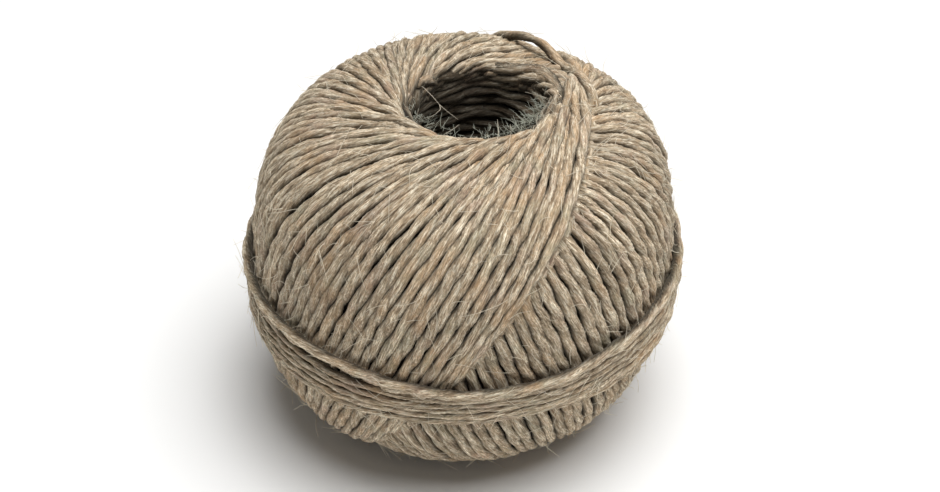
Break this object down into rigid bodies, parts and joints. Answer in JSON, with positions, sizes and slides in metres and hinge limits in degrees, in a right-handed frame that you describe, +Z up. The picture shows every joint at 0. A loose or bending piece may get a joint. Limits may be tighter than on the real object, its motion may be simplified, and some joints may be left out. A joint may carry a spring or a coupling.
{
  "type": "ball of twine",
  "caption": "Machine-wound ball of natural jute twine with an open core and a band of level turns round its waist.",
  "frame": {"origin": "on the surface that the ball stands on, under the middle of its box", "axes": "+Z up along the ball's height, -Y towards the viewer, +X to the right, where the core leans to"},
  "size_m": [0.1094, 0.1094, 0.0887],
  "materials": {
    "jute": "matte"
  },
  "bodies": {
    "root": {"twine_ball": "jute"}
  },
  "joints": []
}
